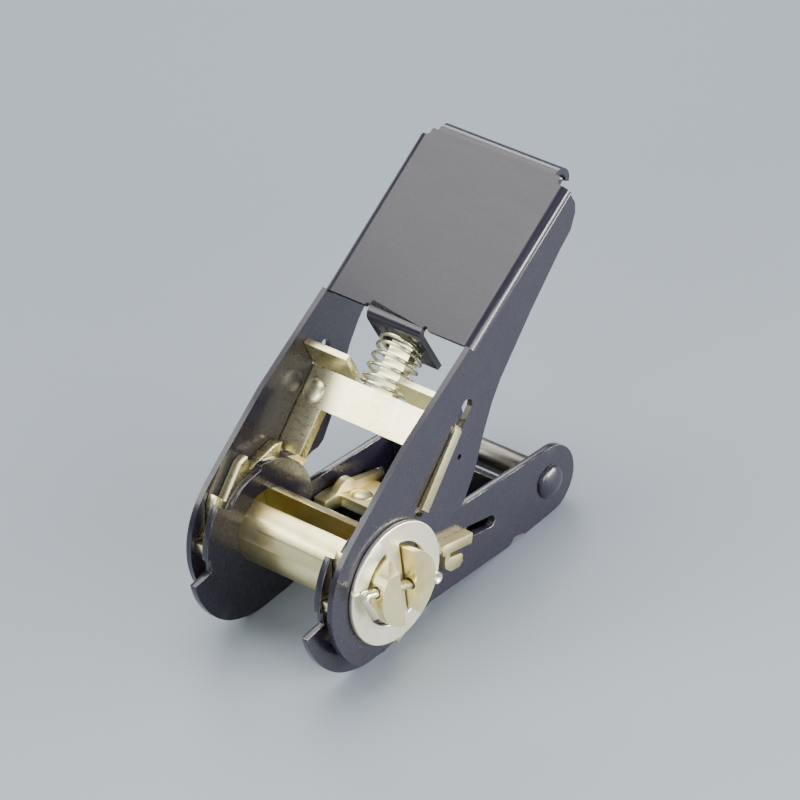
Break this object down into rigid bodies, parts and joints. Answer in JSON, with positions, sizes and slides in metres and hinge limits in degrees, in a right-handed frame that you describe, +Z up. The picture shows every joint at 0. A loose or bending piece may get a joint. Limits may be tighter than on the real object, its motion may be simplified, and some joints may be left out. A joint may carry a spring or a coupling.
{
  "type": "ratchet buckle",
  "caption": "Ratchet tie-down buckle for narrow webbing: folded base with a sleeved rear bar, split mandrel in toothed wheels, crank handle, sprung pawls.",
  "frame": {"origin": "centre of the webbing slot, on the axis of the mandrel", "axes": "+X from the mandrel towards the rear bar, +Y along the mandrel, +Z up with the buckle standing on its front lobes and rear feet"},
  "size_m": [0.0848, 0.045, 0.0732],
  "materials": {
    "black_paint": "gloss black paint over sheet steel, edges rubbed bright",
    "yellow_zinc": "yellow chromated zinc plate",
    "pale_zinc": "pale yellow chromated zinc plate",
    "bright_zinc": "bright zinc plate",
    "grey_zinc": "dull grey-beige zinc plate"
  },
  "bodies": {
    "base": {"base_frame": "black_paint", "anchor_pin": "black_paint", "base_spring": "bright_zinc"},
    "rear_sleeve": {"anchor_sleeve": "grey_zinc"},
    "mandrel": {"mandrel_front_half": "pale_zinc", "mandrel_rear_half": "pale_zinc", "ratchet_wheel_near": "yellow_zinc", "ratchet_wheel_far": "yellow_zinc", "hub_washer_near": "pale_zinc", "hub_washer_far": "pale_zinc", "cotter_pin_near": "bright_zinc", "cotter_pin_far": "bright_zinc"},
    "handle": {"handle_frame": "black_paint", "handle_spring": "bright_zinc"},
    "driving_pawl": {"handle_pawl": "yellow_zinc"},
    "locking_pawl": {"base_pawl": "yellow_zinc"}
  },
  "joints": [
    {"name": "handle_swing", "type": "hinge", "parent": "base", "child": "handle", "pos_m": [0, 0, 0], "axis": [0, -1, 0], "range_deg": [-35, 77]},
    {"name": "mandrel_spin", "type": "hinge", "parent": "base", "child": "mandrel", "pos_m": [0, 0, 0], "axis": [0, -1, 0], "range_deg": [-35, 77]},
    {"name": "handle_pawl_pull", "type": "slide", "parent": "handle", "child": "driving_pawl", "axis": [0.742, 0, 0.6704], "range_m": [0, 0.0045], "stiffness_N_per_m": 900, "springref_m": -0.004, "deforming": ["handle_spring"]},
    {"name": "base_pawl_pull", "type": "slide", "parent": "base", "child": "locking_pawl", "axis": [0.9686, 0, -0.2487], "range_m": [0, 0.004], "stiffness_N_per_m": 700, "springref_m": -0.003, "deforming": ["base_spring"]},
    {"name": "sleeve_spin", "type": "hinge", "parent": "base", "child": "rear_sleeve", "pos_m": [0.04978, 0, -0.01012], "axis": [0, 1, 0], "continuous": true}
  ],
  "couplings": [
    {"joint": "mandrel_spin", "follows": "handle_swing", "ratio": 1}
  ]
}
